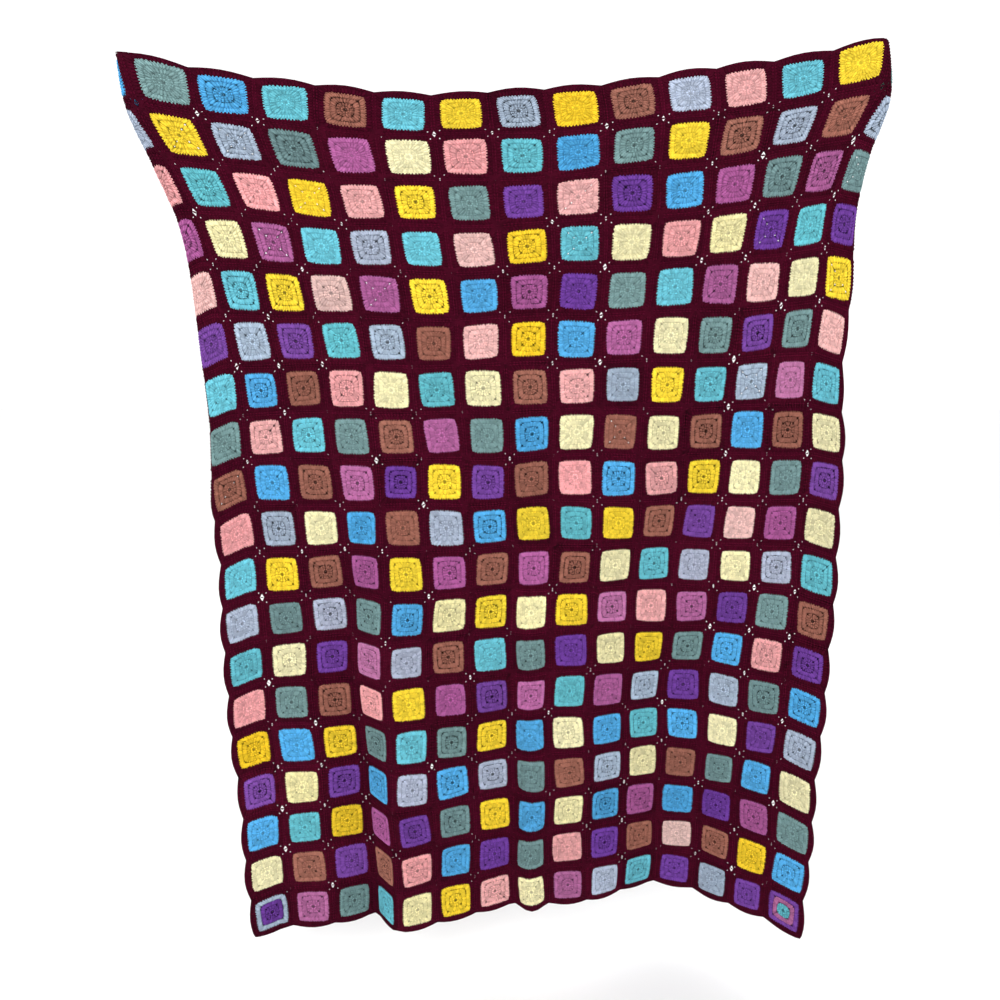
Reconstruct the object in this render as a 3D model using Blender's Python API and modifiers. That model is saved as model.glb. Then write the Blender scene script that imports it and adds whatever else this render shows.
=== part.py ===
"""Granny square blanket: a crocheted throw of 15 by 19 squares, hung by its two top corners.

Metres, +Z up. The front faces -Y and +X is to the right seen from the front. The origin is the
middle of the top edge. A place on the cloth is told in squares: `across` from the left edge and
`down` from the top edge. The cloth is one sheet: a flat grid of squares, carried onto the hanging
form and then thickened.
"""

import bpy
import numpy as np

NAME = "granny_square_blanket"

# The cloth as it is made.
SQUARE = 0.100  # one finished square, four rounds of treble-high stitches
COLUMNS = 15
ROWS = 19
THICKNESS = 0.003
YARN = (0.062, 0.004, 0.014)  # the dark yarn that joins the squares
YARN_ROUGHNESS = 0.9

# How it is held: the grips are on the top edge, in squares from its left end.
MIDDLE = COLUMNS / 2
LOWEST = 6.3  # where the top edge sags to its lowest
LEFT_GRIP, RIGHT_GRIP = 0.70, 14.05
LEFT_RISE, RIGHT_RISE = 0.092, 0.110  # height of each grip over the lowest place
LEFT_SAG, RIGHT_SAG = 1.9, 1.6  # power of the sag on each side
CORNER_DROP = 0.045  # how far each corner falls away beyond its grip, for each square
CORNER_FADE = 2.0  # squares down over which that evens out

# Stations down the cloth. `across` is the width of a square there against its flat size, and the
# pulls add to it towards either side. The turns tell how many squares at a side are turned back
# behind the rest. `folds` is the share of the hem's folds, and the drops are the height of a
# square in the middle and at the sides against its flat size. `drift` is in metres, to the right.
STATIONS = {
    "down": (0.0, 1.0, 2.0, 3.0, 4.5, 6.0, 8.0, 10.0, 13.0, 16.0, 19.0),
    "across": (1.16, 1.19, 1.17, 1.13, 1.07, 1.02, 0.985, 0.975, 0.98, 0.985, 0.995),
    "left_pull": (0.42, 0.14, -0.12, -0.21, -0.22, -0.17, -0.09, -0.04, 0.0, 0.0, 0.0),
    "right_pull": (0.12, -0.16, -0.46, -0.53, -0.44, -0.33, -0.22, -0.16, -0.09, -0.08, -0.06),
    "left_turn": (0.86, 0.68, 0.54, 0.48, 0.26, 0.08, 0.02, -0.30, -0.30, -0.30, -0.30),
    "right_turn": (0.98, 0.70, 0.36, 0.12, -0.08, -0.30, -0.30, -0.30, -0.30, -0.30, -0.30),
    "folds": (0.0, 0.0, 0.0, 0.0, 0.0, 0.03, 0.15, 0.44, 0.70, 0.86, 1.0),
    "drop_middle": (0.76, 0.90, 0.91, 0.935, 0.97, 1.005, 1.02, 1.025, 1.015, 1.015, 1.01),
    "drop_left": (1.08, 1.15, 1.17, 1.16, 1.12, 1.07, 1.03, 1.01, 1.01, 1.02, 1.03),
    "drop_right": (0.98, 1.04, 1.10, 1.13, 1.14, 1.10, 1.07, 1.05, 1.03, 1.01, 1.01),
    "drift": (0.0, 0.008, 0.014, 0.021, 0.027, 0.030, 0.036, 0.041, 0.036, 0.040, 0.042),
}
LEFT_POWER, RIGHT_POWER = 2.6, 1.3  # how closely the taller squares keep to each side

# The folds at the hem, as flat flanks between creases: where each starts, in squares across, and
# the way it heads, in degrees. A flank over 0 goes back as it runs right, one under 0 comes forward.
FLANKS = (
    ("left side", 0.0, 4.0),
    ("left valley", 2.0, 24.0),
    ("left ridge", 3.0, -56.0),
    ("behind left ridge", 4.0, 28.0),
    ("middle valley", 5.5, 20.0),
    ("middle ridge", 6.9, -44.0),
    ("behind middle ridge", 7.5, 40.0),
    ("middle shelf", 8.0, 13.0),
    ("right valley, going in", 9.0, 24.0),
    ("right valley", 10.9, -12.0),
    ("right valley, coming out", 12.0, -40.0),
    ("right side", 13.1, -46.0),
    ("right corner", 14.0, -37.0),
)
CREASE = 0.44  # squares over which one flank bends into the next
TURN_ANGLE = 165.0  # degrees that a turned-back side goes round
TURN_WIDTH = 0.60  # squares over which it goes round
PLUMB = 1.5  # squares across, where the cloth hangs plumb

# Unevenness of handwork.
BILLOW = 0.004  # depth of the shallow waves between folds
WANDER = 0.002  # how far rows and columns stray
SCALLOP = 0.06  # squares that the edge draws in at each join
BULGE = 0.024  # squares that the edge stands out at the middle of each square
EDGE_BAND = 0.12  # squares from the edge where that fades

# The grid: cuts across each outermost square, across each other square, and down each square.
SIDE_CUTS, INNER_CUTS, DOWN_CUTS = 5, 4, 2
FINE = 20  # steps to a square in working out the form


def clear_scene():
    for thing in list(bpy.data.objects):
        bpy.data.objects.remove(thing)


def smooth(share):
    share = np.clip(share, 0.0, 1.0)
    return share * share * (3.0 - 2.0 * share)


def station(column, down):
    """One column of STATIONS at any place down the cloth, on a smooth curve through its rows."""
    places = np.array(STATIONS["down"])
    values = np.array(STATIONS[column])
    slopes = np.gradient(values, places)
    row = np.clip(np.searchsorted(places, down, side="right") - 1, 0, len(places) - 2)
    step = places[row + 1] - places[row]
    share = (down - places[row]) / step
    rest = 1.0 - share
    level = values[row] * rest**2 * (1 + 2 * share) + values[row + 1] * share**2 * (1 + 2 * rest)
    return level + step * share * rest * (slopes[row] * rest - slopes[row + 1] * share)


def heading(across, down):
    """The way that the cloth runs as `across` grows, in radians: 0 is right, over 0 goes back."""
    angle = np.full_like(across, FLANKS[0][2])
    for (_, _, before), (_, start, after) in zip(FLANKS, FLANKS[1:]):
        angle = angle + (after - before) * smooth((across - start) / CREASE + 0.5)
    angle = angle * station("folds", down)
    left = smooth((across - station("left_turn", down)) / TURN_WIDTH + 0.5)
    right = smooth((across - COLUMNS + station("right_turn", down)) / TURN_WIDTH + 0.5)
    return np.radians(angle + TURN_ANGLE * (left - 1.0 + right))


def running_sum(rate, axis):
    """The integral of a rate from the first line of the fine grid on."""
    rate = np.moveaxis(rate, axis, 0)
    steps = np.cumsum((rate[1:] + rate[:-1]) / (2 * FINE), axis=0)
    return np.moveaxis(np.concatenate([np.zeros_like(rate[:1]), steps]), 0, axis)


def hanging_form():
    """Points of the hanging cloth on the fine grid, as [down, across, xyz], from the middle of
    the top edge as it stands out there.
    """
    across, down = np.meshgrid(
        np.linspace(0, COLUMNS, COLUMNS * FINE + 1), np.linspace(0, ROWS, ROWS * FINE + 1)
    )
    side = across / MIDDLE - 1.0
    pull = np.where(side < 0, station("left_pull", down), station("right_pull", down))
    width = SQUARE * (station("across", down) + pull * side**2)
    angle = heading(across, down)
    x = running_sum(width * np.cos(angle), 1)
    y = running_sum(width * np.sin(angle), 1)
    x += station("drift", down) - x[:, [round(MIDDLE * FINE)]]
    y -= y[:, [round(PLUMB * FINE)]]

    to_side = np.where(side < 0, station("drop_left", down), station("drop_right", down))
    nearness = np.abs(side) ** np.where(side < 0, LEFT_POWER, RIGHT_POWER)
    height = station("drop_middle", down) * (1 - nearness) + to_side * nearness
    left = np.clip((LOWEST - across) / (LOWEST - LEFT_GRIP), 0, 1)
    right = np.clip((across - LOWEST) / (RIGHT_GRIP - LOWEST), 0, 1)
    beyond = np.clip(LEFT_GRIP - across, 0, None) + np.clip(across - RIGHT_GRIP, 0, None)
    z = LEFT_RISE * left**LEFT_SAG + RIGHT_RISE * right**RIGHT_SAG
    z -= CORNER_DROP * beyond * np.exp(-down / CORNER_FADE)
    z -= SQUARE * running_sum(height, 0)

    x += WANDER * np.sin(2.1 * down + 0.7 * across)
    y += BILLOW * np.sin(1.7 * across + 0.6 * down) * np.sin(0.9 * down + 0.4)
    z += WANDER * np.sin(1.9 * across + 1.3 * down)
    form = np.stack([x, y, z], axis=-1)
    first, second = form[:2, round(MIDDLE * FINE)]
    return form - (first - BULGE * FINE * (second - first))


def scallop_edges(across, down):
    """Each edge stands out at the middle of a square and draws in where two squares join."""
    dip_across = SCALLOP - (SCALLOP + BULGE) * np.abs(np.sin(np.pi * down))
    dip_down = SCALLOP - (SCALLOP + BULGE) * np.abs(np.sin(np.pi * across))

    def near(gap):
        return np.clip(1 - gap / EDGE_BAND, 0, 1)

    near_left, near_right = near(across), near(COLUMNS - across)
    near_top, near_hem = near(down), near(ROWS - down)
    return across + dip_across * (near_left - near_right), down + dip_down * (near_top - near_hem)


def hang(form, across, down):
    """Points of the cloth at these places, read from the fine grid."""
    across, down = scallop_edges(across, down)
    column = np.clip((across * FINE).astype(int), 0, COLUMNS * FINE - 1)
    row = np.clip((down * FINE).astype(int), 0, ROWS * FINE - 1)
    right = (across * FINE - column)[:, None]
    below = (down * FINE - row)[:, None]
    upper = form[row, column] * (1 - right) + form[row, column + 1] * right
    lower = form[row + 1, column] * (1 - right) + form[row + 1, column + 1] * right
    return upper * (1 - below) + lower * below


def yarn_material():
    material = bpy.data.materials.new("dark_yarn")
    material.use_nodes = True
    shader = material.node_tree.nodes["Principled BSDF"]
    shader.inputs["Base Color"].default_value = (*YARN, 1.0)
    shader.inputs["Roughness"].default_value = YARN_ROUGHNESS
    shader.inputs["Metallic"].default_value = 0.0
    return material


def make_blanket(collection):
    """One flat grid, with closer lines in the outermost squares, hung and then thickened."""
    cuts = [SIDE_CUTS] + [INNER_CUTS] * (COLUMNS - 2) + [SIDE_CUTS]
    lines = [column + cut / count for column, count in enumerate(cuts) for cut in range(count)]
    lines = np.array([*lines, COLUMNS], dtype=float)
    bpy.ops.mesh.primitive_grid_add(
        x_subdivisions=len(lines) - 1, y_subdivisions=ROWS * DOWN_CUTS, size=1.0
    )
    blanket = bpy.context.object
    blanket.name = blanket.data.name = "blanket"
    for holder in list(blanket.users_collection):
        holder.objects.unlink(blanket)
    collection.objects.link(blanket)

    flat = np.empty(len(blanket.data.vertices) * 3, dtype=np.float32)
    blanket.data.vertices.foreach_get("co", flat)
    flat = flat.reshape(-1, 3)
    line = np.rint((flat[:, 0] + 0.5) * (len(lines) - 1)).astype(int)
    across = lines[line]
    down = (0.5 - flat[:, 1].astype(float)) * ROWS
    hung = hang(hanging_form(), across, down)
    blanket.data.vertices.foreach_set("co", hung.astype(np.float32).ravel())
    blanket.data.update()
    blanket.data.shade_smooth()

    thick = blanket.modifiers.new("thickness", "SOLIDIFY")
    thick.thickness = THICKNESS
    thick.offset = 0.0
    thick.use_even_offset = True
    blanket.data.materials.append(yarn_material())


def main():
    clear_scene()
    collection = bpy.data.collections.new(NAME)
    bpy.context.scene.collection.children.link(collection)
    make_blanket(collection)


main()
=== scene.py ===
"""Looks of the granny square blanket: its ground cloth, every stitch, the yarns, a stage and a camera.

Metres, +Z up, in the frame of the part. The front faces -Y. A place on the cloth is told in
squares: `across` from the left edge and `down` from the top edge, and `out` is the height in metres
over the middle of the cloth, towards the front. Everything is made flat in these terms, and then
carried onto the same hanging form as the part's solid.
"""

import math

import bpy
import numpy as np
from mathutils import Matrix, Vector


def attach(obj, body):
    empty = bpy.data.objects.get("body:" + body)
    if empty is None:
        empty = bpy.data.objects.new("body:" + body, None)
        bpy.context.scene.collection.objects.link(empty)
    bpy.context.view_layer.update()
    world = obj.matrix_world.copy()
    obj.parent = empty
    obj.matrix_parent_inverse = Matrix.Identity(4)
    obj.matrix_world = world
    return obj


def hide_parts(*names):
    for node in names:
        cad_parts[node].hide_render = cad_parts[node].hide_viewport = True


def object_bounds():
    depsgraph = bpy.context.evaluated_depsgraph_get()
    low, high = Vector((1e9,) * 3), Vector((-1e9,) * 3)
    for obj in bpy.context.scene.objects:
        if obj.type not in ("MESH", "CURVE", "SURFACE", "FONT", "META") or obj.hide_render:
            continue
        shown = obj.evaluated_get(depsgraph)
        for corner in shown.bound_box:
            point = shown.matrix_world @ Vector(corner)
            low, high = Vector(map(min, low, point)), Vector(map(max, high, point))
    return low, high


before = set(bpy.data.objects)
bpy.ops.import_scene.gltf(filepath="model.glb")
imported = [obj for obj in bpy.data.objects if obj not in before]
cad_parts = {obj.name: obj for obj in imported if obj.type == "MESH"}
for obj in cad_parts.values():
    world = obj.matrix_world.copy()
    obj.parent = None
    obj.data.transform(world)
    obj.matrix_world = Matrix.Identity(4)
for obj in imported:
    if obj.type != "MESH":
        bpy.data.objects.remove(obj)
CAD_BOX = [list(corner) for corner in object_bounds()]

# ---------------------------------------------------------------------------------------------
# The cloth and its hanging form, as in the part.
# ---------------------------------------------------------------------------------------------
SQUARE = 0.100  # one finished square
COLUMNS = 15
ROWS = 19

# How it is held: the grips are on the top edge, in squares from its left end.
MIDDLE = COLUMNS / 2
LOWEST = 6.3  # where the top edge sags to its lowest
LEFT_GRIP, RIGHT_GRIP = 0.70, 14.05
LEFT_RISE, RIGHT_RISE = 0.092, 0.110  # height of each grip over the lowest place
LEFT_SAG, RIGHT_SAG = 1.9, 1.6  # power of the sag on each side
CORNER_DROP = 0.045  # how far each corner falls away beyond its grip, for each square
CORNER_FADE = 2.0  # squares down over which that evens out

# Stations down the cloth. `across` is the width of a square there against its flat size, and the
# pulls add to it towards either side. The turns tell how many squares at a side are turned back
# behind the rest. `folds` is the share of the hem's folds, and the drops are the height of a
# square in the middle and at the sides against its flat size. `drift` is in metres, to the right.
STATIONS = {
    "down": (0.0, 1.0, 2.0, 3.0, 4.5, 6.0, 8.0, 10.0, 13.0, 16.0, 19.0),
    "across": (1.16, 1.19, 1.17, 1.13, 1.07, 1.02, 0.985, 0.975, 0.98, 0.985, 0.995),
    "left_pull": (0.42, 0.14, -0.12, -0.21, -0.22, -0.17, -0.09, -0.04, 0.0, 0.0, 0.0),
    "right_pull": (0.12, -0.16, -0.46, -0.53, -0.44, -0.33, -0.22, -0.16, -0.09, -0.08, -0.06),
    "left_turn": (0.86, 0.68, 0.54, 0.48, 0.26, 0.08, 0.02, -0.30, -0.30, -0.30, -0.30),
    "right_turn": (0.98, 0.70, 0.36, 0.12, -0.08, -0.30, -0.30, -0.30, -0.30, -0.30, -0.30),
    "folds": (0.0, 0.0, 0.0, 0.0, 0.0, 0.03, 0.15, 0.44, 0.70, 0.86, 1.0),
    "drop_middle": (0.76, 0.90, 0.91, 0.935, 0.97, 1.005, 1.02, 1.025, 1.015, 1.015, 1.01),
    "drop_left": (1.08, 1.15, 1.17, 1.16, 1.12, 1.07, 1.03, 1.01, 1.01, 1.02, 1.03),
    "drop_right": (0.98, 1.04, 1.10, 1.13, 1.14, 1.10, 1.07, 1.05, 1.03, 1.01, 1.01),
    "drift": (0.0, 0.008, 0.014, 0.021, 0.027, 0.030, 0.036, 0.041, 0.036, 0.040, 0.042),
}
LEFT_POWER, RIGHT_POWER = 2.6, 1.3  # how closely the taller squares keep to each side

# The folds at the hem, as flat flanks between creases: where each starts, in squares across, and
# the way it heads, in degrees. A flank over 0 goes back as it runs right, one under 0 comes forward.
FLANKS = (
    ("left side", 0.0, 4.0),
    ("left valley", 2.0, 24.0),
    ("left ridge", 3.0, -56.0),
    ("behind left ridge", 4.0, 28.0),
    ("middle valley", 5.5, 20.0),
    ("middle ridge", 6.9, -44.0),
    ("behind middle ridge", 7.5, 40.0),
    ("middle shelf", 8.0, 13.0),
    ("right valley, going in", 9.0, 24.0),
    ("right valley", 10.9, -12.0),
    ("right valley, coming out", 12.0, -40.0),
    ("right side", 13.1, -46.0),
    ("right corner", 14.0, -37.0),
)
CREASE = 0.44  # squares over which one flank bends into the next
TURN_ANGLE = 165.0  # degrees that a turned-back side goes round
TURN_WIDTH = 0.60  # squares over which it goes round
PLUMB = 1.5  # squares across, where the cloth hangs plumb

# Unevenness of handwork. Waves are in radians for each square across and down, and at the start.
BILLOW = 0.004  # depth of the shallow waves between folds
BILLOW_WAVES, BILLOW_SWELL = (1.7, 0.6, 0.0), (0.0, 0.9, 0.4)
WANDER = 0.002  # how far rows and columns stray
COLUMN_WAVES, ROW_WAVES = (0.7, 2.1, 0.0), (1.9, 1.3, 0.0)
SCALLOP = 0.06  # squares that the edge draws in at each join
BULGE = 0.024  # squares that the edge stands out at the middle of each square
EDGE_BAND = 0.12  # squares from the edge where that fades
FINE = 20  # steps to a square in working out the form


def smooth(share):
    """A share eased in and out, kept from 0 to 1."""
    share = np.clip(share, 0.0, 1.0)
    return share * share * (3.0 - 2.0 * share)


def station(column, down):
    """One column of STATIONS at any place down the cloth, on a smooth curve through its rows."""
    places = np.array(STATIONS["down"])
    values = np.array(STATIONS[column])
    slopes = np.gradient(values, places)
    row = np.clip(np.searchsorted(places, down, side="right") - 1, 0, len(places) - 2)
    step = places[row + 1] - places[row]
    share = (down - places[row]) / step
    rest = 1.0 - share
    level = values[row] * rest**2 * (1 + 2 * share) + values[row + 1] * share**2 * (1 + 2 * rest)
    return level + step * share * rest * (slopes[row] * rest - slopes[row + 1] * share)


def heading(across, down):
    """The way that the cloth runs as `across` grows, in radians: 0 is right, over 0 goes back."""
    angle = np.full_like(across, FLANKS[0][2])
    for (_, _, before), (_, start, after) in zip(FLANKS, FLANKS[1:]):
        angle = angle + (after - before) * smooth((across - start) / CREASE + 0.5)
    angle = angle * station("folds", down)
    left = smooth((across - station("left_turn", down)) / TURN_WIDTH + 0.5)
    right = smooth((across - COLUMNS + station("right_turn", down)) / TURN_WIDTH + 0.5)
    return np.radians(angle + TURN_ANGLE * (left - 1.0 + right))


def running_sum(rate, axis):
    """The integral of a rate from the first line of the fine grid on."""
    rate = np.moveaxis(rate, axis, 0)
    steps = np.cumsum((rate[1:] + rate[:-1]) / (2 * FINE), axis=0)
    return np.moveaxis(np.concatenate([np.zeros_like(rate[:1]), steps]), 0, axis)


def wave(rates, across, down):
    """A wave over the cloth, from -1 to 1."""
    return np.sin(rates[0] * across + rates[1] * down + rates[2])


def heights(across, down, side):
    """The height of each place over the lowest place of the top edge, before its waves. `side`
    runs from -1 at the left edge to 1 at the right one.
    """
    to_side = np.where(side < 0, station("drop_left", down), station("drop_right", down))
    nearness = np.abs(side) ** np.where(side < 0, LEFT_POWER, RIGHT_POWER)
    tallness = station("drop_middle", down) * (1 - nearness) + to_side * nearness
    left = np.clip((LOWEST - across) / (LOWEST - LEFT_GRIP), 0, 1)
    right = np.clip((across - LOWEST) / (RIGHT_GRIP - LOWEST), 0, 1)
    beyond = np.clip(LEFT_GRIP - across, 0, None) + np.clip(across - RIGHT_GRIP, 0, None)
    z = LEFT_RISE * left**LEFT_SAG + RIGHT_RISE * right**RIGHT_SAG
    z -= CORNER_DROP * beyond * np.exp(-down / CORNER_FADE)
    return z - SQUARE * running_sum(tallness, 0)


def hanging_form():
    """Points of the hanging cloth on the fine grid, as [down, across, xyz], from the middle of
    the top edge as it stands out there.
    """
    across, down = np.meshgrid(
        np.linspace(0, COLUMNS, COLUMNS * FINE + 1), np.linspace(0, ROWS, ROWS * FINE + 1)
    )
    side = across / MIDDLE - 1.0
    pull = np.where(side < 0, station("left_pull", down), station("right_pull", down))
    width = SQUARE * (station("across", down) + pull * side**2)
    angle = heading(across, down)
    x = running_sum(width * np.cos(angle), 1)
    y = running_sum(width * np.sin(angle), 1)
    x += station("drift", down) - x[:, [round(MIDDLE * FINE)]]
    y -= y[:, [round(PLUMB * FINE)]]

    z = heights(across, down, side)

    x += WANDER * wave(COLUMN_WAVES, across, down)
    y += BILLOW * wave(BILLOW_WAVES, across, down) * wave(BILLOW_SWELL, across, down)
    z += WANDER * wave(ROW_WAVES, across, down)
    form = np.stack([x, y, z], axis=-1)
    first, second = form[:2, round(MIDDLE * FINE)]
    return form - (first - BULGE * FINE * (second - first))


def scallop_edges(across, down):
    """Each edge stands out at the middle of a square and draws in where two squares join."""
    dip_across = SCALLOP - (SCALLOP + BULGE) * np.abs(np.sin(np.pi * down))
    dip_down = SCALLOP - (SCALLOP + BULGE) * np.abs(np.sin(np.pi * across))

    def near(gap):
        return np.clip(1 - gap / EDGE_BAND, 0, 1)

    near_left, near_right = near(across), near(COLUMNS - across)
    near_top, near_hem = near(down), near(ROWS - down)
    return across + dip_across * (near_left - near_right), down + dip_down * (near_top - near_hem)


def front_of(form):
    """The unit normals of the form, towards the front."""
    normals = np.cross(np.gradient(form, axis=0), np.gradient(form, axis=1))
    return normals / np.linalg.norm(normals, axis=-1, keepdims=True)


def hang(places):
    """World points of places [..., (across, down, out)] on the hanging form."""
    across, down = scallop_edges(places[..., 0], places[..., 1])
    column = np.clip((across * FINE).astype(int), 0, COLUMNS * FINE - 1)
    row = np.clip((down * FINE).astype(int), 0, ROWS * FINE - 1)
    right = (across * FINE - column)[..., None]
    below = (down * FINE - row)[..., None]

    def read(grid):
        upper = grid[row, column] * (1 - right) + grid[row, column + 1] * right
        lower = grid[row + 1, column] * (1 - right) + grid[row + 1, column + 1] * right
        return upper * (1 - below) + lower * below

    return read(FORM) + read(FRONT) * places[..., 2:3]


FORM = hanging_form()
FRONT = front_of(FORM)

# ---------------------------------------------------------------------------------------------
# The squares. Lengths inside one are in squares, from its middle.
# ---------------------------------------------------------------------------------------------
RNG = np.random.default_rng(1519)
HALF = 0.5  # from the middle of a square to each side
SIDES = 4  # of a square, and as many corners

# The rounds, from the middle out. A round's edge is a circle drawn out to a square: `reach` is its
# distance at the middle of a side, and `power` is 2 for a circle and more for a squarer one. The
# gaps are from a square's diagonal to the nearest stitch, at the stitch's two ends.
ROUNDS = {
    "name": ("ring", "first", "second", "third", "joining"),
    "stitches": (2, 4, 7, 12, 12),  # on each side
    "inner_reach": (0.030, 0.076, 0.151, 0.256, 0.332),
    "inner_power": (2.0, 2.0, 3.2, 6.0, 10.0),
    "post_reach": (0.0, 0.142, 0.248, 0.344, 0.484),
    "outer_reach": (0.084, 0.151, 0.258, 0.350, 0.495),
    "outer_power": (2.0, 3.2, 6.0, 10.0, 40.0),
    "inner_gap": (0.010, 0.004, 0.026, 0.028, 0.024),
    "outer_gap": (0.010, 0.018, 0.018, 0.016, 0.090),
    "post_width": (0.0, 0.052, 0.063, 0.057, 0.074),  # none in the ring
    "head_depth": (0.040, 0.024, 0.022, 0.020, 0.036),
    "head_lap": (1.60, 1.05, 1.05, 1.00, 1.10),  # a loop's length against its share of the edge
    "head_slant": (0.000, 0.003, 0.003, 0.012, 0.003),
    "tone": (1.05, 0.98, 0.96, 1.05, 1.00),
}
JOINING = ROUNDS["name"].index("joining")
LONG_POSTS = (2, 3)  # the rounds whose posts have one more section
POST_THICK, HEAD_THICK = 0.0034, 0.0042  # metres, front to back
POST_SHADE, HEAD_HIGHLIGHT = 0.90, 1.20  # painted shade on the posts and painted highlight on the heads, which catch more light
SEAM_HIGHLIGHT = 1.14  # painted highlight against the other heads: the outermost ones stand up along the seams
OPEN_GAP = 0.010  # how much wider the gaps are in an open square

# Rings of the ground cloth in one square, with the painted shade of the yarn there along the sides and
# at the corners: darker in the centre hole, the closed corner spaces, the grooves between rounds and
# the seam, where shade falls between the stitches. A corner space lies between the two rings of each
# pair that has the same name. A join's own space is left by the rims of its four squares, which are cut
# off at their corners.
RINGS = {
    "name": ("middle", "eye", "ring", "first space", "first space", "second space", "second space",
             "edge", "third space", "third space", "rim"),
    "reach": (0.002, 0.020, 0.05, 0.136, 0.156, 0.238, 0.262, 0.376, 0.411, 0.427, 0.500),
    "power": (2.0, 2.0, 2.0, 3.0, 3.2, 6.0, 6.0, 6.5, 24.0, 24.0, np.inf),
    "shade": (0.10, 0.14, 0.58, 0.48, 0.36, 0.48, 0.36, 0.94, 0.74, 0.74, 0.60),
    "corner_shade": (0.1, 0.14, 0.6, 0.16, 0.10, 0.16, 0.10, 0.80, 0.70, 0.70, 0.60),
}
EDGE_RING = RINGS["name"].index("edge")
SPOKES = 6  # stretches of the ground along each side, between the corner wedges
WEDGE = (0.0015, 0.0100)  # half-width of a corner wedge in a tight corner and in an open one
RIM_CUT = (0.080, 0.048)  # of a fully open join: its half-height and its half-width
SPACE_SHOWS = 0.25  # a corner more open than this has a space that can be seen through
MOST_GAP = 0.45  # share of the way from a corner to the middle of a side that a gap takes at most

# How squares differ. A spread is a standard deviation.
TWIST = 4.0  # spread, in degrees, of the turn of a square's centre against its coloured edge
TILT = 1.4  # spread, in degrees, of a coloured middle's tilt in its square
SWELL, SWELL_LIMIT = 0.022, 1.8  # spread of a middle's size, and the most spreads that it is off
SKEW, SKEW_LIMIT = 0.016, 2.0  # the same for how far it leans and tapers, against its size
INSET = {"side": 0.008, "top": 0.035}  # squares that the outermost middles lie inwards
DRAWN = {(0, 1): (0.06, 0.05), (0, 13): (0.0, 0.08)}  # middles drawn towards a grip: right and up
PILLOW, PILLOW_RANGE = 0.0016, (-0.4, 1.0)  # metres that a middle stands out, and shares of that
TONE_SPREAD = 0.05  # of how light a square is
DYE_POWER = 2  # over 1: more of the squares are near the usual dye than near the other

# The painted shade between the stitches: 1 is as the rings' shades say, and more is darker. A yarn
# that isn't in YARN_DEPTH has 1 there.
DEPTH, DEPTH_POWER = (0.56, 1.26), 1.3  # from square to square, and more of them near the least
YARN_DEPTH = {"cream": 0.60, "pink": 0.74, "yellow": 0.91, "brown": 1.32, "violet": 1.28}
PATCHY = 0.50  # share that it differs from place to place in one square
DARKEST = 0.03  # the least shade that it leaves

# How open the corner spaces are: 0 is tight, and 1 is as open as any.
OPEN_CHANCE = 0.13  # that an upper square is pulled open, but never one in the top row
OPEN_ROWS, OPEN_CUTOFF = 8.0, 3  # rows down where that chance falls off, and how sharply
MOST_OPEN = 0.9  # inside a square
JOIN_LEAST = 0.08
JOIN_TO_SIDE = 0.26  # more at the sides
JOIN_TO_TOP, JOIN_TOP_ROWS = 0.25, 6.0  # more at the sides near the top, fading over these rows
JOIN_CHANCE, JOIN_POWER = 0.75, 2.5  # more by chance, and a few joins get most of it
BY_JOIN = (0.45, 0.95)  # how open the spaces beside a join are, against the join


def round_edge(reach, power, share):
    """A place on a round's edge on its right-hand side, where share runs from -1 to 1 of it."""
    y = 2.0 ** (-1.0 / power) * share
    x = (1.0 - np.abs(y) ** power) ** (1.0 / power)
    return reach * np.stack([x, y], axis=-1)


def corner_share(reach, power, gap):
    """The share of a round's edge that is this far from the diagonal."""
    corner = reach * 2.0 ** (-1.0 / power)
    return 1 - np.minimum(gap, MOST_GAP * corner) / corner


def four_sides(places):
    """Places of the right-hand side, repeated for all four: [side, ...]."""
    x, y = places[..., 0], places[..., 1]
    return np.stack([places, np.stack([-y, x], -1), np.stack([-x, -y], -1), np.stack([y, -x], -1)])


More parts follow.
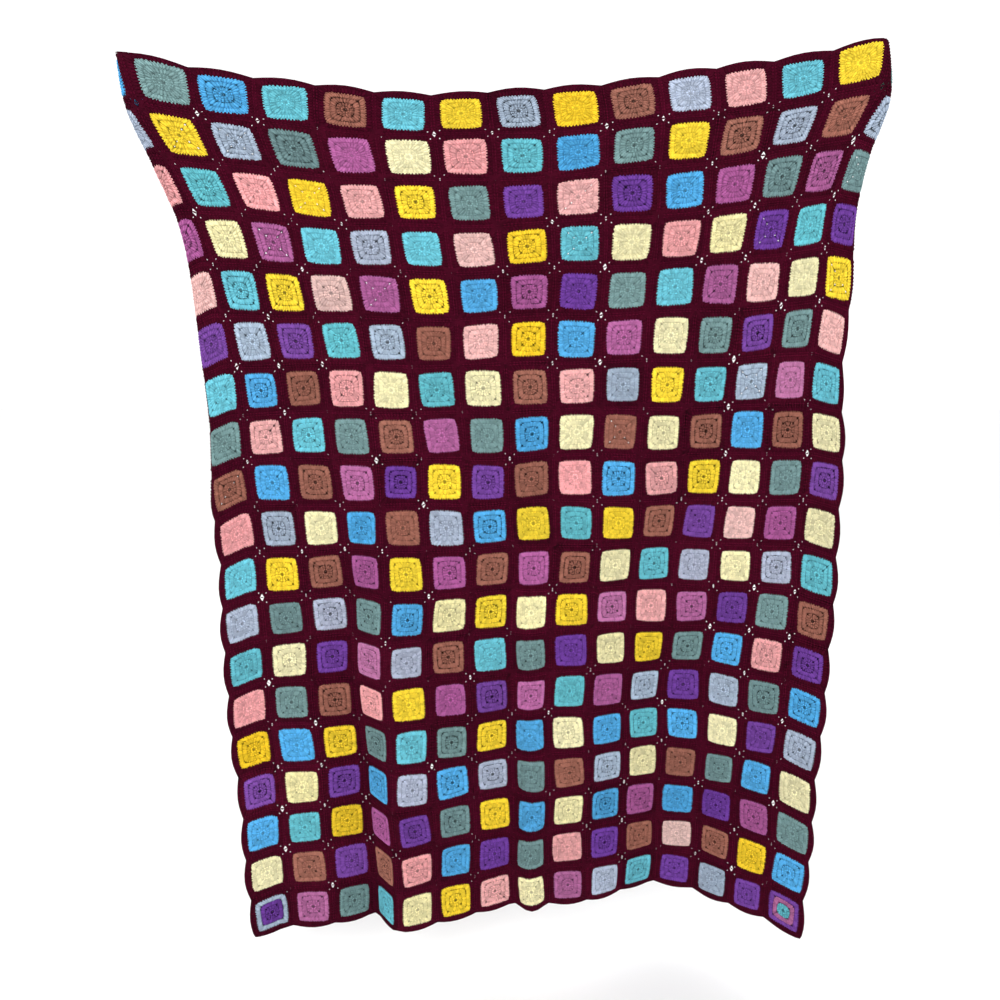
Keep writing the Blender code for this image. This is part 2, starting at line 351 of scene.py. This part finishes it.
class Squares:
    """What sets each square apart, one entry a square in reading order."""

    def __init__(self):
        self.row, self.column = np.divmod(np.arange(COLUMNS * ROWS), COLUMNS)
        count = len(self.row)
        self.twist = np.radians(TWIST) * RNG.standard_normal(count)
        self.tilt = np.radians(TILT) * RNG.standard_normal(count)
        self.swell = 1.0 + SWELL * np.clip(RNG.standard_normal(count), -SWELL_LIMIT, SWELL_LIMIT)
        kinds = 4  # lean in x and y, and taper in x and y
        self.skew = SKEW * np.clip(RNG.standard_normal((kinds, count)), -SKEW_LIMIT, SKEW_LIMIT)
        self.inset_x = INSET["side"] * ((self.column == 0) * 1.0 - (self.column == COLUMNS - 1))
        self.inset_y = -INSET["top"] * (self.row == 0)
        for (row, column), (right, up) in DRAWN.items():
            here = (self.row == row) & (self.column == column)
            self.inset_x[here] += right
            self.inset_y[here] += up
        self.pillow = PILLOW * RNG.uniform(*PILLOW_RANGE, count)
        self.tone = 1.0 + TONE_SPREAD * RNG.standard_normal(count)
        self.dye = RNG.uniform(0.0, 1.0, count) ** DYE_POWER
        # how deep the painted shade between this square's stitches is
        dark = RNG.uniform(0.0, 1.0, count) ** DEPTH_POWER
        self.depth = DEPTH[0] + (DEPTH[1] - DEPTH[0]) * dark
        self.open = self.openness()
        self.open_joins = self.join_openness()
        self.open_spaces = self.open_joins * RNG.uniform(*BY_JOIN, self.open_joins.shape)

    def openness(self):
        """How far the spaces at each corner inside each square are pulled open, from 0 to 1, as
        [square, corner]: those of a few of the upper squares are.
        """
        chance = OPEN_CHANCE * np.exp(-((self.row / OPEN_ROWS) ** OPEN_CUTOFF)) * (self.row > 0)
        pulled = RNG.uniform(0.0, 1.0, len(self.row)) < chance
        return pulled[:, None] * RNG.uniform(0.0, MOST_OPEN, (len(self.row), SIDES))

    def join_openness(self):
        """How open the join of four squares is, from 0 to 1, as [square, corner]. Joins at the edge
        of the cloth are closed.
        """
        row, column = np.mgrid[0 : ROWS + 1, 0 : COLUMNS + 1]
        to_side = np.abs(column - MIDDLE) / MIDDLE
        pulled = JOIN_LEAST + JOIN_TO_TOP * to_side * np.exp(-row / JOIN_TOP_ROWS)
        pulled = pulled + JOIN_TO_SIDE * to_side
        by_chance = JOIN_CHANCE * RNG.uniform(0.0, 1.0, row.shape) ** JOIN_POWER
        joins = np.clip(pulled + by_chance, 0.0, 1.0)
        joins[[0, -1], :] = joins[:, [0, -1]] = 0.0
        right, below = self.column + 1, self.row + 1
        corners = (self.row, right), (self.row, self.column), (below, self.column), (below, right)
        return np.stack([joins[corner] for corner in corners], axis=1)

    def place(self, local):
        """Places on the cloth of [square, ..., (x, y, out)] given from each square's middle."""
        shape = (-1,) + (1,) * (local.ndim - 2)

        def each(values):
            return values.reshape(shape)

        x, y, out = local[..., 0], local[..., 1], local[..., 2]
        reach = np.maximum(np.abs(x), np.abs(y))
        edge = RINGS["reach"][EDGE_RING]
        held = smooth((HALF - reach) / (HALF - edge))
        turn = held * (each(self.tilt) + each(self.twist) * (1 - reach / edge))
        grow = 1.0 + held * (each(self.swell) - 1.0)
        lean_x, lean_y, taper_x, taper_y = (each(skew) for skew in self.skew)
        bend = x * y / edge
        turned_x = grow * (x * np.cos(turn) - y * np.sin(turn))
        turned_y = grow * (x * np.sin(turn) + y * np.cos(turn))
        turned_x += held * (lean_x * y + taper_x * bend + each(self.inset_x))
        turned_y += held * (lean_y * x + taper_y * bend + each(self.inset_y))
        across = each(self.column) + HALF + turned_x
        down = each(self.row) + HALF - turned_y
        out = out + each(self.pillow) * smooth((HALF - reach) / HALF)
        return np.stack([across, down, out], axis=-1)


# ---------------------------------------------------------------------------------------------
# The yarns, as display colours from 0 to 255: the usual dye and another batch of it.
# ---------------------------------------------------------------------------------------------
YARNS = {
    "wine": ((67, 5, 28), (73, 7, 31)),
    "yellow": ((246, 217, 64), (253, 209, 42)),
    "cream": ((243, 236, 192), (237, 228, 173)),
    "turquoise": ((114, 200, 217), (104, 190, 201)),
    "sky_blue": ((91, 178, 231), (82, 169, 222)),
    "grey_blue": ((174, 191, 210), (180, 186, 206)),
    "sage": ((125, 157, 157), (116, 145, 147)),
    "brown": ((157, 102, 87), (166, 111, 96)),
    "orchid": ((174, 94, 154), (196, 126, 170)),
    "violet": ((114, 65, 159), (131, 80, 166)),
    "pink": ((239, 167, 169), (233, 201, 194)),
}
LANDMARKS = {
    # (row, column): the yarns of the first, second and third rounds, the ring like the first
    (0, 1): ("sage", "sage", "sage"),
    (0, 13): ("yellow", "yellow", "yellow"),
    (18, 0): ("violet", "violet", "grey_blue"),
    (18, 14): ("turquoise", "orchid", "violet"),
}


def deal_yarns():
    """A yarn for each round of each square, [square, round], as places in YARNS. The ten bright
    yarns come in like shares, and no square is like the one beside it or above it.
    """
    names = list(YARNS)
    bright = range(1, len(names))
    bag = list(RNG.permutation(np.resize(bright, COLUMNS * ROWS)))
    grid = np.zeros((ROWS, COLUMNS), dtype=int)
    for (row, column), yarns in LANDMARKS.items():
        grid[row, column] = names.index(yarns[0])
    for row in range(ROWS):
        for column in range(COLUMNS):
            if (row, column) in LANDMARKS:
                continue
            near = grid[max(row - 1, 0) : row + 2, max(column - 1, 0) : column + 2]
            # If only the yarns nearby were left, the first would do. With this seed it never has to.
            pick = next((k for k, yarn in enumerate(bag) if yarn not in near), 0)
            grid[row, column] = bag.pop(pick)
    dealt = np.zeros((ROWS, COLUMNS, len(ROUNDS["name"])), dtype=int)
    dealt[:, :, :JOINING] = grid[:, :, None]
    for place, yarns in LANDMARKS.items():
        dealt[place][:JOINING] = [names.index(yarn) for yarn in (yarns[0], *yarns)]
    return dealt.reshape(-1, len(ROUNDS["name"]))


# ---------------------------------------------------------------------------------------------
# Stitches. Each is a post and a head, and both are beads: a diamond in section, with pointed ends.
# ---------------------------------------------------------------------------------------------
POST_RINGS = ((0.36, 0.92), (0.88, 1.0))  # share along a bead, and how thick it is there
SHORT_RINGS = ((0.5, 1.0),)
GIRTH = ((1, 0), (0, 1), (-1, 0), (0, -1))  # a ring's corners: to a side, front, other side, back
PLY_TURNS = 3.0  # turns of the yarn's twist along a bead
FULL_TURN = 2 * math.pi

STRAY = 0.0054  # spread, in squares, of how far one stitch strays
POST_STRAY, HEAD_STRAY = 0.6, 0.5  # of that, at a post's outer end and in its head
POST_UNEVEN, HEAD_UNEVEN = (0.16, 0.16), (0.16, 0.12)  # shares that width and thickness differ
STITCH_TONE_UNEVEN, ROUND_TONE_UNEVEN = 0.20, 0.05  # the same for the tone
EDGE_END = 0.98  # share of a round's edge that its heads keep to

STRAND_REACH = 0.075  # squares from the middle of a join to each end of the strand across it
STRAND_SLOPE = 0.5  # how far an end is up or down at most, against that reach
STRAND_WIDTH, STRAND_UNEVEN = 0.034, 0.4  # squares, and the share that it differs
STRAND_THICK = 0.0021
STRAND_TONE, STRAND_DYE = 1.0, 0.5


def bead_triangles(rings):
    """The faces of one bead, over its first tip, its rings and its last tip."""
    sides = len(GIRTH)
    last_tip = 1 + sides * len(rings)
    faces = []
    for k in range(sides):
        after = (k + 1) % sides
        faces.append((0, 1 + after, 1 + k))
        for ring in range(len(rings) - 1):
            near, far = 1 + sides * ring, 1 + sides * (ring + 1)
            faces.append((near + k, near + after, far + k))
            faces.append((near + after, far + after, far + k))
        faces.append((last_tip - sides + k, last_tip - sides + after, last_tip))
    return np.array(faces)


def beads(starts, ends, width, thick, rings):
    """Corners [..., vertex, (x, y, out)] of beads from starts to ends, and the phase of their twist."""
    starts, ends = np.broadcast_arrays(starts, ends)
    run = ends - starts
    aside = np.stack([-run[..., 1], run[..., 0]], -1) / np.linalg.norm(run, axis=-1, keepdims=True)
    corners = [np.concatenate([starts, 0 * starts[..., :1]], -1)]
    phases = [0.0]
    for share, girth in rings:
        for to_side, to_front in GIRTH:
            flat = starts + run * share + aside * (to_side * girth * width / 2)[..., None]
            out = to_front * girth * thick / 2
            corners.append(np.concatenate([flat, out[..., None]], -1))
            phases.append(FULL_TURN * PLY_TURNS * share + FULL_TURN / 4 * to_side)
    corners.append(np.concatenate([ends, 0 * ends[..., :1]], -1))
    phases.append(FULL_TURN * PLY_TURNS)
    return np.stack(corners, axis=-2), np.array(phases)


def jitter(shape, amount):
    """Factors near 1 that differ from it by up to this amount."""
    return 1.0 + amount * RNG.uniform(-1.0, 1.0, shape)


def on_all_sides(reach, power, shares):
    """Places on a round's edge, [square, side, stitch, (x, y)], at shares [square, stitch] of it."""
    return np.moveaxis(four_sides(round_edge(reach, power, shares)), 0, 1)


def posts_of(about, rings, inner_shares, outer_shares, stray):
    """The posts of a round, from its inner edge out."""
    inner = on_all_sides(about["inner_reach"], about["inner_power"], inner_shares) + stray
    outer = on_all_sides(about["post_reach"], about["outer_power"], outer_shares)
    shape = stray.shape[:-1]
    width = about["post_width"] * jitter(shape, POST_UNEVEN[0])
    thick = POST_THICK * jitter(shape, POST_UNEVEN[1])
    corners, phases = beads(inner, outer + POST_STRAY * stray, width, thick, rings)
    # painted shade: the posts are darker than their yarn
    return POST_SHADE, corners, phases, bead_triangles(rings)


def heads_of(about, row, shares, lap, stray):
    """The heads of a round, in a row along its outer edge. Each laps to both sides of its place."""
    before = np.clip(shares - lap, -EDGE_END, EDGE_END)
    after = np.clip(shares + lap, -EDGE_END, EDGE_END)
    starts = on_all_sides(row - about["head_slant"], about["outer_power"], before)
    ends = on_all_sides(row + about["head_slant"], about["outer_power"], after)
    aside = HEAD_STRAY * stray
    shape = stray.shape[:-1]
    width = about["head_depth"] * jitter(shape, HEAD_UNEVEN[0])
    thick = HEAD_THICK * jitter(shape, HEAD_UNEVEN[1])
    corners, phases = beads(starts + aside, ends + aside, width, thick, SHORT_RINGS)
    # painted highlight: the heads, and the seam's heads more, are lighter than their yarn
    tone = HEAD_HIGHLIGHT * (SEAM_HIGHLIGHT if about["name"] == "joining" else 1.0)
    return tone, corners, phases, bead_triangles(SHORT_RINGS)


def stitches_of(squares, k):
    """The posts, if it has any, and the heads of round k of every square, each as (tone, corners,
    phases, triangles), with the corners as [square, side, stitch, vertex, (x, y, out)].
    """
    about = {key: values[k] for key, values in ROUNDS.items()}
    count = about["stitches"]
    row = about["outer_reach"] - about["head_depth"] / 2
    slack = OPEN_GAP * squares.open.mean(axis=1)
    inner_gap, outer_gap = about["inner_gap"] + slack, about["outer_gap"] + slack
    inner_end = corner_share(about["inner_reach"], about["inner_power"], inner_gap)[:, None]
    outer_end = corner_share(row, about["outer_power"], outer_gap)[:, None]
    even = np.linspace(-1.0, 1.0, count)
    lap = about["head_lap"] * outer_end / max(count - 1, 2)
    stray = STRAY * RNG.standard_normal((len(squares.row), SIDES, count, 2))
    made = []
    if about["post_width"]:
        rings = POST_RINGS if k in LONG_POSTS else SHORT_RINGS
        made.append(posts_of(about, rings, inner_end * even, outer_end * even, stray))
    made.append(heads_of(about, row, outer_end * even, lap, stray))
    return made


def join_strands():
    """The strand that crosses the opening at each join from side to side, as (row, corners, phases,
    triangles), with the corners as places on the cloth.
    """
    row, column = (line.ravel() for line in np.mgrid[1:ROWS, 1:COLUMNS])
    slope = STRAND_SLOPE * RNG.uniform(-1.0, 1.0, row.shape)
    end = STRAND_REACH * np.stack([np.ones_like(slope), slope], axis=-1)
    end = end + STRAY * RNG.standard_normal(end.shape)
    width = STRAND_WIDTH * jitter(row.shape, STRAND_UNEVEN)
    thick = np.full(row.shape, STRAND_THICK)
    corners, phases = beads(-end, end, width, thick, SHORT_RINGS)
    x, y, out = (corners[..., axis] for axis in range(3))
    places = np.stack([column[:, None] + x, row[:, None] - y, out], axis=-1)
    return row, places, phases, bead_triangles(SHORT_RINGS)


class Heap:
    """Vertices, triangles and their values, gathered for one mesh."""

    def __init__(self):
        self.places, self.triangles, self.tones, self.dyes, self.phases = [], [], [], [], []
        self.size = 0

    def add(self, places, triangles, tones, dyes, phases):
        """Adds like things: places [thing, vertex, 3] and the rest [thing, vertex]."""
        things, vertices = places.shape[:2]
        starts = self.size + vertices * np.arange(things)
        self.triangles.append((starts[:, None, None] + triangles[None]).reshape(-1, 3))
        self.places.append(places.reshape(-1, 3))
        for kept, values in ((self.tones, tones), (self.dyes, dyes), (self.phases, phases)):
            kept.append(np.broadcast_to(values, (things, vertices)).ravel())
        self.size += things * vertices

    def mesh(self, name, materials):
        """One object of all that was added."""
        values = {"tone": self.tones, "dye": self.dyes, "twist": self.phases}
        values = {key: np.concatenate(parts) for key, parts in values.items()}
        places, triangles = np.concatenate(self.places), np.concatenate(self.triangles)
        return build_mesh(name, places, triangles, values, materials)


def build_mesh(name, places, triangles, values, materials):
    """An object of these triangles, hung on the form, with its values and its flat UV map."""
    mesh = bpy.data.meshes.new(name)
    mesh.vertices.add(len(places))
    mesh.vertices.foreach_set("co", hang(places).astype(np.float32).ravel())
    mesh.loops.add(triangles.size)
    mesh.loops.foreach_set("vertex_index", triangles.astype(np.int32).ravel())
    mesh.polygons.add(len(triangles))
    mesh.polygons.foreach_set("loop_start", np.arange(0, triangles.size, 3, dtype=np.int32))
    for material in materials:
        mesh.materials.append(material)
    for key, value in values.items():
        attribute = mesh.attributes.new(key, "FLOAT", "POINT")
        attribute.data.foreach_set("value", value.astype(np.float32))
    flat = np.stack([places[:, 0] / COLUMNS, 1 - places[:, 1] / ROWS], axis=-1)
    uv_map = mesh.uv_layers.new(name="OFBake")
    uv_map.uv.foreach_set("vector", flat[triangles.ravel()].astype(np.float32).ravel())
    mesh.update(calc_edges=True)
    mesh.shade_smooth()
    piece = bpy.data.objects.new(name, mesh)
    bpy.context.scene.collection.objects.link(piece)
    return piece


def squares_of(key, squares, yarns):
    """Which squares have a round in the piece of this name, when `yarns` has that round's yarns."""
    names = list(YARNS)
    if key in names:
        return yarns == names.index(key)
    upper = squares.row < ROWS / 2
    return (yarns == names.index("wine")) & (upper == (key == "wine_upper"))


def add_round(heaps, squares, yarns, k):
    """Adds the stitches of round k of every square to the heap of its yarn."""
    for tone, corners, phases, triangles in stitches_of(squares, k):
        kinds = corners.shape[:-2]
        places = squares.place(corners)
        tones = tone * ROUNDS["tone"][k] * squares.tone[:, None, None]
        tones = tones * jitter(kinds, STITCH_TONE_UNEVEN)
        tones = tones * jitter((kinds[0], 1, 1), ROUND_TONE_UNEVEN)
        dyes = np.broadcast_to(squares.dye[:, None, None], kinds)
        for key, heap in heaps.items():
            chosen = squares_of(key, squares, yarns)
            if chosen.any():
                heap.add(
                    places[chosen].reshape(-1, *places.shape[-2:]),
                    triangles,
                    tones[chosen].reshape(-1, 1),
                    dyes[chosen].reshape(-1, 1),
                    phases,
                )


def add_strands(heaps):
    """Adds the strands that cross the joins to the joining yarn's heaps."""
    rows, places, phases, triangles = join_strands()
    for key, chosen in (("wine_upper", rows < ROWS / 2), ("wine_lower", rows >= ROWS / 2)):
        heaps[key].add(places[chosen], triangles, STRAND_TONE, STRAND_DYE, phases)


def make_stitches(squares, dealt, materials):
    """One piece for each bright yarn, and two for the joining yarn: the upper and the lower rows."""
    heaps = {name: Heap() for name in YARNS if name != "wine"}
    heaps["wine_upper"], heaps["wine_lower"] = Heap(), Heap()
    for k in range(len(ROUNDS["name"])):
        add_round(heaps, squares, dealt[:, k], k)
    add_strands(heaps)
    pieces = []
    for key, heap in heaps.items():
        yarn = "wine" if key.startswith("wine") else key
        piece = heap.mesh(f"stitches_{key}", [materials[yarn]])
        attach(piece, "root")
        pieces.append(piece)
    return pieces


# ---------------------------------------------------------------------------------------------
# The ground: the body of the cloth behind and between the stitches, open at its corner spaces.
# Its yarn is darkened by painted shade where it shows between the stitches.
# ---------------------------------------------------------------------------------------------
WELD_DECIMALS = 5  # places that agree to these are one place


def ground_places(squares):
    """Corners of the ground, [square, ring, spoke, (x, y, out)], turning once round each ring."""
    rings = []
    for ring, (reach, power) in enumerate(zip(RINGS["reach"], RINGS["power"])):
        openness = squares.open_spaces if ring > EDGE_RING else squares.open
        gaps = WEDGE[0] + (WEDGE[1] - WEDGE[0]) * openness
        stretch = np.ones(SIDES)
        if RINGS["name"][ring] == "rim":
            gaps = squares.open_joins
            stretch = np.resize(RIM_CUT, SIDES)
        ends = corner_share(reach, power, stretch * gaps)
        starts = -corner_share(reach, power, stretch * np.roll(gaps, 1, axis=1))
        shares = np.linspace(starts, ends, SPOKES + 1, axis=-1)
        flat = round_edge(reach, power, shares)
        sides = [four_sides(flat[:, side])[side] for side in range(SIDES)]
        rings.append(np.concatenate(sides, axis=1))
    flat = np.stack(rings, axis=1)
    return np.concatenate([flat, np.zeros_like(flat[..., :1])], axis=-1)


def quads_kept(squares, rings, spokes):
    """Which quads the ground has, [square, ring, spoke]: an open corner space leaves out its own."""
    names = RINGS["name"]
    spaces = np.array([a == b for a, b in zip(names, names[1:])])
    inside = np.arange(rings - 1) < EDGE_RING
    openness = np.where(inside[:, None], squares.open[:, None], squares.open_spaces[:, None])
    kept = np.ones((len(squares.row), rings - 1, spokes), dtype=bool)
    kept[:, :, SPOKES :: SPOKES + 1] = ~(spaces[:, None] & (openness > SPACE_SHOWS))
    return kept


def ground_triangles(squares, dealt, number):
    """The triangles of the ground over its numbered corners, and the yarn of each."""
    ahead = np.roll(number, -1, axis=2)
    quads = np.stack([number[:, :-1], ahead[:, :-1], ahead[:, 1:], number[:, 1:]], axis=-1)
    kept = quads_kept(squares, *number.shape[1:])
    rounds = np.searchsorted(ROUNDS["outer_reach"], np.array(RINGS["reach"])[:-1], side="right")
    yarns = np.broadcast_to(dealt[:, rounds, None], kept.shape)[kept]
    quads = quads[kept]
    triangles = np.concatenate([quads[:, [0, 1, 2]], quads[:, [0, 2, 3]]])
    return triangles, np.concatenate([yarns, yarns])


def ground_tone_and_shade(squares, dealt, shape):
    """The square's own tone times the painted shade of the yarn at each corner of the ground, [square,
    ring, spoke].
    """
    at_corner = np.isin(np.arange(shape[2]) % (SPOKES + 1), (0, SPOKES))
    shade = np.where(
        at_corner, np.array(RINGS["corner_shade"])[:, None], np.array(RINGS["shade"])[:, None]
    )
    yarn_depth = np.array([YARN_DEPTH.get(name, 1.0) for name in YARNS])[dealt[:, 0]]
    depth = (yarn_depth * squares.depth)[:, None, None] * jitter(shape, PATCHY)
    return squares.tone[:, None, None] * np.maximum(1.0 - (1.0 - shade) * depth, DARKEST)


def weld(places, triangles, yarns):
    """Makes one corner of all that lie in one place, and drops the triangles that close up.
    Gives the places, the new number of each old corner, the triangles and their yarns.
    """
    merged, index = np.unique(np.round(places, WELD_DECIMALS), axis=0, return_inverse=True)
    index = index.reshape(-1)
    triangles = index[triangles]
    real = (triangles != np.roll(triangles, 1, axis=1)).all(axis=1)
    return merged, index, triangles[real], yarns[real]


def make_ground(squares, dealt, materials):
    """The ground of all squares, welded at their rims, with the open corner spaces left out."""
    places = squares.place(ground_places(squares))
    shape = places.shape[:3]
    number = np.arange(math.prod(shape)).reshape(shape)
    triangles, yarns = ground_triangles(squares, dealt, number)
    merged, index, triangles, yarns = weld(places.reshape(-1, 3), triangles, yarns)
    tone, dye = np.zeros(len(merged)), np.zeros(len(merged))
    tone[index] = ground_tone_and_shade(squares, dealt, shape).ravel()
    dye[index] = np.broadcast_to(squares.dye[:, None, None], shape).ravel()

    values = {"tone": tone, "dye": dye, "twist": np.zeros(len(merged))}
    slots = [materials[name] for name in YARNS]
    ground = build_mesh("ground_cloth", merged, triangles, values, slots)
    ground.data.polygons.foreach_set("material_index", yarns.astype(np.int32))
    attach(ground, "root")
    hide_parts("blanket")
    return ground


# ---------------------------------------------------------------------------------------------
# Materials.
# ---------------------------------------------------------------------------------------------
LIGHTING = 1.15  # how much brighter a pale surface shows than its own colour
FIBRES, FIBRE_DETAIL = 1400.0, 2.0  # noise cells to a metre, and octaves, for single fibres
MOTTLE, MOTTLE_DETAIL = 70.0, 3.0  # the same for uneven dye

# How bright the wool is against its dye: the least, and what the twist and each noise add.
SHADE_LEAST = 0.765
SHADE_PLY, SHADE_MOTTLE, SHADE_FIBRES = 0.05, 0.32, 0.16

RELIEF_PLY, RELIEF_FIBRES = 0.45, 0.7  # what each adds to the bump
RELIEF_STRENGTH, RELIEF_HEIGHT = 0.5, 0.0006  # the height in metres

WOOL_ROUGHNESS, WOOL_GLOSS = 0.88, 0.04
FUZZ, FUZZ_ROUGHNESS = 0.15, 0.45  # of the sheen


def linear(colour):
    """A display colour from 0 to 255, as linear light, by the sRGB curve."""
    shares = [channel / 255 for channel in colour]
    return [s / 12.92 if s <= 0.04045 else ((s + 0.055) / 1.055) ** 2.4 for s in shares]


class Graph:
    """The nodes of one material, and short ways to add to them."""

    def __init__(self, material):
        material.use_nodes = True
        self.nodes, self.links = material.node_tree.nodes, material.node_tree.links

    def value(self, key):
        """One of the mesh's own values."""
        node = self.nodes.new("ShaderNodeAttribute")
        node.attribute_name = key
        return node.outputs["Fac"]

    def math(self, operation, first, second=0.0, third=0.0):
        """A sum on numbers or on what other nodes give."""
        node = self.nodes.new("ShaderNodeMath")
        node.operation = operation
        for socket, given in zip(node.inputs, (first, second, third)):
            if isinstance(given, float):
                socket.default_value = given
            else:
                self.links.new(given, socket)
        return node.outputs[0]

    def noise(self, place, scale, detail):
        """Noise over the cloth, from 0 to 1."""
        node = self.nodes.new("ShaderNodeTexNoise")
        node.inputs["Scale"].default_value = scale
        node.inputs["Detail"].default_value = detail
        self.links.new(place, node.inputs["Vector"])
        return node.outputs["Fac"]

    def mix(self, share, first, second):
        """One colour passing into another."""
        node = self.nodes.new("ShaderNodeMix")
        node.data_type = "RGBA"
        self.links.new(share, node.inputs["Factor"])
        node.inputs["A"].default_value = first
        node.inputs["B"].default_value = second
        return node.outputs["Result"]

    def scaled(self, colour, scale):
        """A colour made lighter or darker."""
        node = self.nodes.new("ShaderNodeVectorMath")
        node.operation = "SCALE"
        self.links.new(colour, node.inputs[0])
        self.links.new(scale, node.inputs["Scale"])
        return node.outputs[0]

    def bump(self, relief):
        """The surface turned as if it had this relief."""
        node = self.nodes.new("ShaderNodeBump")
        node.inputs["Strength"].default_value = RELIEF_STRENGTH
        node.inputs["Distance"].default_value = RELIEF_HEIGHT
        self.links.new(relief, node.inputs["Height"])
        return node.outputs[0]


def wool_colour(graph, usual, other, fibres, mottle, ply):
    """The two dyes mixed, and shaded by the twist, the noises and the tone value: each stitch's own
    tone, with the painted shade between the stitches and on the posts and the painted highlight on the
    heads.
    """
    dyed = graph.mix(graph.value("dye"), usual, other)
    shade = graph.math("MULTIPLY_ADD", ply, SHADE_PLY, SHADE_LEAST)
    shade = graph.math("MULTIPLY_ADD", mottle, SHADE_MOTTLE, shade)
    shade = graph.math("MULTIPLY_ADD", fibres, SHADE_FIBRES, shade)
    shade = graph.math("MULTIPLY", shade, graph.value("tone"))
    return graph.scaled(dyed, shade)


def wool_bump(graph, fibres, ply):
    """The relief of the twist and the fibres."""
    relief = graph.math("MULTIPLY", fibres, RELIEF_FIBRES)
    return graph.bump(graph.math("MULTIPLY_ADD", ply, RELIEF_PLY, relief))


def yarn_material(name, colours):
    """Matt wool: two dye batches mixed by square, mottled, with plied strands and loose fibres."""
    material = bpy.data.materials.new(f"{name}_yarn")
    graph = Graph(material)
    usual, other = ([*(c / LIGHTING for c in linear(colour)), 1.0] for colour in colours)
    place = graph.nodes.new("ShaderNodeTexCoord").outputs["Object"]
    fibres = graph.noise(place, FIBRES, FIBRE_DETAIL)
    mottle = graph.noise(place, MOTTLE, MOTTLE_DETAIL)
    ply = graph.math("SINE", graph.value("twist"))

    shader = graph.nodes["Principled BSDF"]
    colour = wool_colour(graph, usual, other, fibres, mottle, ply)
    graph.links.new(colour, shader.inputs["Base Color"])
    graph.links.new(wool_bump(graph, fibres, ply), shader.inputs["Normal"])
    shader.inputs["Roughness"].default_value = WOOL_ROUGHNESS
    shader.inputs["Specular IOR Level"].default_value = WOOL_GLOSS
    shader.inputs["Sheen Weight"].default_value = FUZZ
    shader.inputs["Sheen Roughness"].default_value = FUZZ_ROUGHNESS
    shader.inputs["Sheen Tint"].default_value = usual
    return material


# ---------------------------------------------------------------------------------------------
# Stage, lights and camera.
# ---------------------------------------------------------------------------------------------
FLOOR_GAP = 0.10  # between the hem and the floor
FLOOR_SIZE = 60.0  # so far out that its edge doesn't show
FLOOR_COLOUR = (0.86, 0.86, 0.86, 1.0)
FLOOR_ROUGHNESS, FLOOR_GLOSS = 0.9, 0.1
SURROUND_COLOUR = (1.0, 1.0, 1.0, 1.0)
SURROUND_STRENGTH = 1.17

CAMERA_PLACE = (-0.032, -1.900, -0.5725)
CAMERA_PITCH = 8.65  # degrees down from level
FOCAL_PIXELS, IMAGE_WIDTH = 868, 1000
SENSOR = 36.0  # millimetres

LIGHTS = (
    # name, place, size in metres, watts
    ("key", (-2.2, -4.2, 1.6), 2.6, 110.0),
    ("fill", (2.6, -3.6, 0.2), 2.6, 30.0),
    ("rear", (0.6, 4.2, 1.4), 2.6, 60.0),
)
AIM = (0.0, 0.0, -0.95)  # the place that every light faces, about the middle of the cloth


def make_stage():
    """A plain pale floor under the hem."""
    height = CAD_BOX[0][2] - FLOOR_GAP
    bpy.ops.mesh.primitive_plane_add(size=FLOOR_SIZE, location=(0.0, 0.0, height))
    floor = bpy.context.object
    floor.name = "floor"
    material = bpy.data.materials.new("pale_floor")
    material.use_nodes = True
    shader = material.node_tree.nodes["Principled BSDF"]
    shader.inputs["Base Color"].default_value = FLOOR_COLOUR
    shader.inputs["Roughness"].default_value = FLOOR_ROUGHNESS
    shader.inputs["Specular IOR Level"].default_value = FLOOR_GLOSS
    floor.data.materials.append(material)


def look_at(thing, place, target):
    """Puts a thing in its place, with its -Z axis towards the target."""
    thing.location = place
    way = [t - p for t, p in zip(target, place)]
    flat = math.hypot(way[0], way[1])
    thing.rotation_euler = (math.atan2(flat, -way[2]), 0.0, math.atan2(-way[0], way[1]))


def make_lights():
    """Three soft lights and a pale surround."""
    for name, place, size, watts in LIGHTS:
        light = bpy.data.lights.new(name, "AREA")
        light.size = size
        light.energy = watts
        lamp = bpy.data.objects.new(name, light)
        look_at(lamp, place, AIM)
        bpy.context.scene.collection.objects.link(lamp)
    world = bpy.data.worlds.new("studio")
    world.use_nodes = True
    surround = world.node_tree.nodes["Background"]
    surround.inputs["Color"].default_value = SURROUND_COLOUR
    surround.inputs["Strength"].default_value = SURROUND_STRENGTH
    bpy.context.scene.world = world


def make_camera():
    """The camera, a little above the middle of the cloth and close to it."""
    camera = bpy.data.objects.new("camera", bpy.data.cameras.new("camera"))
    camera.data.sensor_width = SENSOR
    camera.data.lens = SENSOR * FOCAL_PIXELS / IMAGE_WIDTH
    camera.location = CAMERA_PLACE
    camera.rotation_euler = (math.radians(90.0 - CAMERA_PITCH), 0.0, 0.0)
    bpy.context.scene.collection.objects.link(camera)
    bpy.context.scene.camera = camera


def main():
    """Makes the blanket, the stage, the lights and the camera."""
    bpy.context.scene.view_settings.view_transform = "Standard"
    materials = {name: yarn_material(name, colours) for name, colours in YARNS.items()}
    squares = Squares()
    dealt = deal_yarns()
    ground = make_ground(squares, dealt, materials)
    stitches = make_stitches(squares, dealt, materials)
    make_stage()
    make_lights()
    make_camera()


main()
